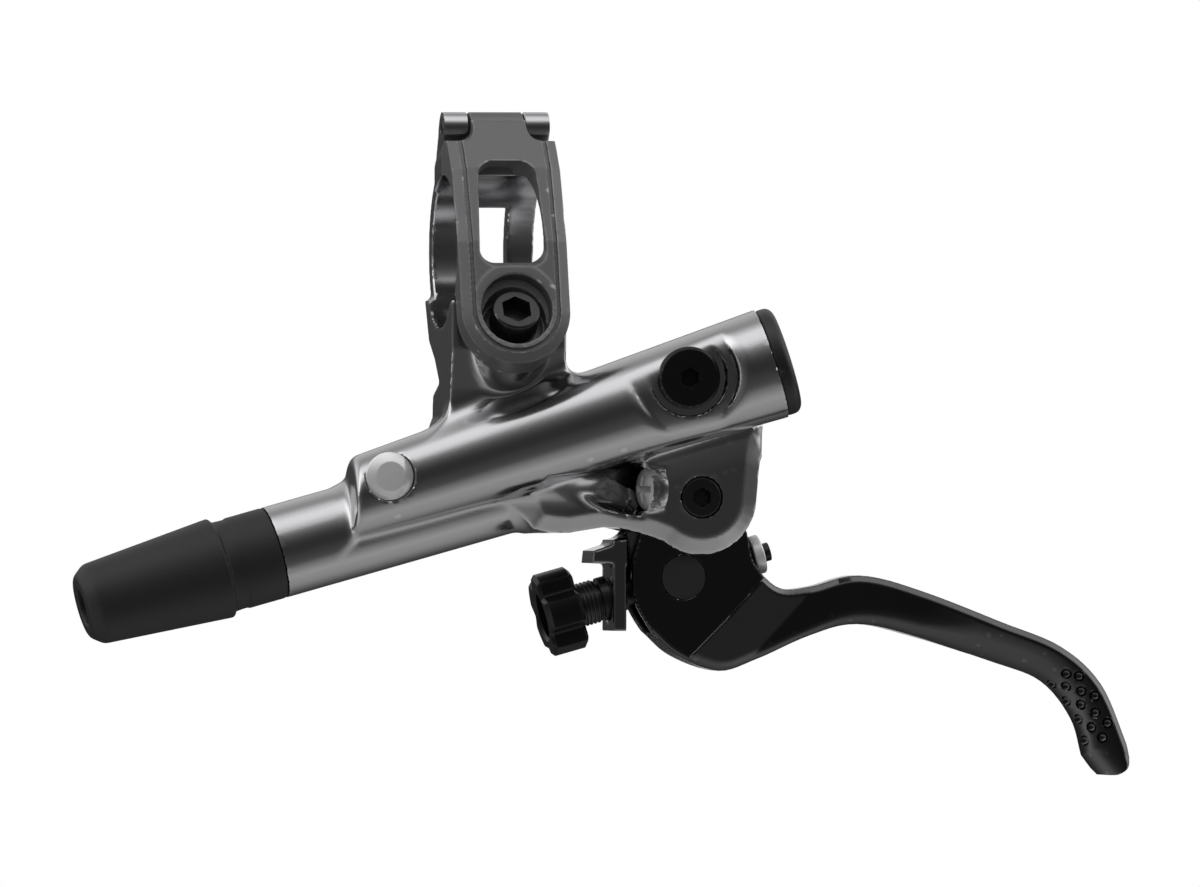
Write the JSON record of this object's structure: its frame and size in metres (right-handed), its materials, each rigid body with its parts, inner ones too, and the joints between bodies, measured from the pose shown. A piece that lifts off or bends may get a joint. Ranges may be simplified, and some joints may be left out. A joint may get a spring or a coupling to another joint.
{
  "type": "bicycle brake lever",
  "caption": "Hydraulic disc-brake lever for a flat handlebar, with a hinged clamp band, reservoir, tool-free reach knob and hooked finger blade.",
  "frame": {"origin": "centre of the handlebar clamp bore", "axes": "+X along the handlebar towards its grip end, +Z away from the lever blade, -Y the outer side"},
  "size_m": [0.1552, 0.0336, 0.0963],
  "materials": {
    "gunmetal": "polished and anodised gunmetal grey",
    "satin_grey": "fine satin anodised dark grey",
    "dark_polished": "polished dark grey",
    "blade_black": "gloss black anodised",
    "black_anodised": "satin black anodised",
    "bright_aluminium": "fine turned bare aluminium",
    "bright_steel": "bright plated steel",
    "dark_steel": "black oxide steel",
    "boot_rubber": "matte black rubber",
    "black_moulding": "matte black moulded plastic",
    "olive_brass": "plain brass"
  },
  "bodies": {
    "housing": {"master_cylinder_body": "gunmetal", "clamp_band": "satin_grey", "clamp_hinge_pin": "dark_steel", "clamp_bolt": "dark_steel", "clamp_washer": "dark_steel", "hose_boot": "boot_rubber", "connecting_bolt": "bright_steel", "olive": "olive_brass", "reservoir_end_cap": "black_moulding", "reservoir_diaphragm": "boot_rubber", "passage_plug": "bright_aluminium", "bleed_screw": "black_anodised", "bleed_screw_o_ring": "boot_rubber", "pivot_axle": "dark_steel", "axle_clip": "bright_steel", "piston_stop_clip": "bright_steel", "piston_spring": "bright_steel"},
    "piston_slide": {"piston": "bright_aluminium", "primary_cup_seal": "boot_rubber", "secondary_cup_seal": "boot_rubber", "push_rod": "bright_steel"},
    "stroke_screw": {"free_stroke_screw": "bright_steel"},
    "link": {"lever_link": "dark_polished", "pivot_bush": "black_moulding"},
    "blade": {"lever_blade": "blade_black"},
    "barrel": {"adjuster_barrel": "dark_steel"},
    "swivel": {"swivel_bush": "black_moulding"},
    "knob": {"reach_knob": "black_anodised", "reach_screw": "dark_steel", "screw_stop_disc": "bright_aluminium"}
  },
  "joints": [
    {"name": "lever_pull", "type": "hinge", "parent": "housing", "child": "link", "pos_m": [0.0289, 0, -0.0356], "axis": [0, -1, 0], "range_deg": [0, 18], "stiffness_Nm_per_rad": 0.5, "springref_deg": -11.46},
    {"name": "piston_push", "type": "slide", "parent": "housing", "child": "piston_slide", "axis": [-0.963, 0, -0.2696], "range_m": [0, 0.0029], "deforming": ["piston_spring"]},
    {"name": "reach_tilt", "type": "hinge", "parent": "link", "child": "blade", "pos_m": [0.0289, 0, -0.0356], "axis": [0, -1, 0], "range_deg": [-3.2, 3.2]},
    {"name": "barrel_swivel", "type": "hinge", "parent": "blade", "child": "barrel", "pos_m": [0.0267, 0, -0.0472], "axis": [0, -1, 0], "range_deg": [-5.5, 5.5]},
    {"name": "screw_swivel", "type": "hinge", "parent": "link", "child": "swivel", "pos_m": [0.01765, 0, -0.04973], "axis": [0, -1, 0], "range_deg": [-2.5, 2.5]},
    {"name": "knob_turn", "type": "hinge", "parent": "swivel", "child": "knob", "pos_m": [0.01765, 0, -0.04973], "axis": [0.963, 0, 0.2696], "range_deg": [-250, 250]},
    {"name": "stroke_turn", "type": "hinge", "parent": "housing", "child": "stroke_screw", "pos_m": [0.0202, -0.006, -0.0344], "axis": [-0.9397, -0.342, 0], "range_deg": [-360, 360]}
  ],
  "couplings": [
    {"joint": "piston_push", "follows": "lever_pull", "m_per_rad": 0.00895},
    {"joint": "reach_tilt", "follows": "knob_turn", "ratio": -0.012034},
    {"joint": "barrel_swivel", "follows": "knob_turn", "ratio": 0.018755},
    {"joint": "screw_swivel", "follows": "knob_turn", "ratio": 0.006721}
  ]
}
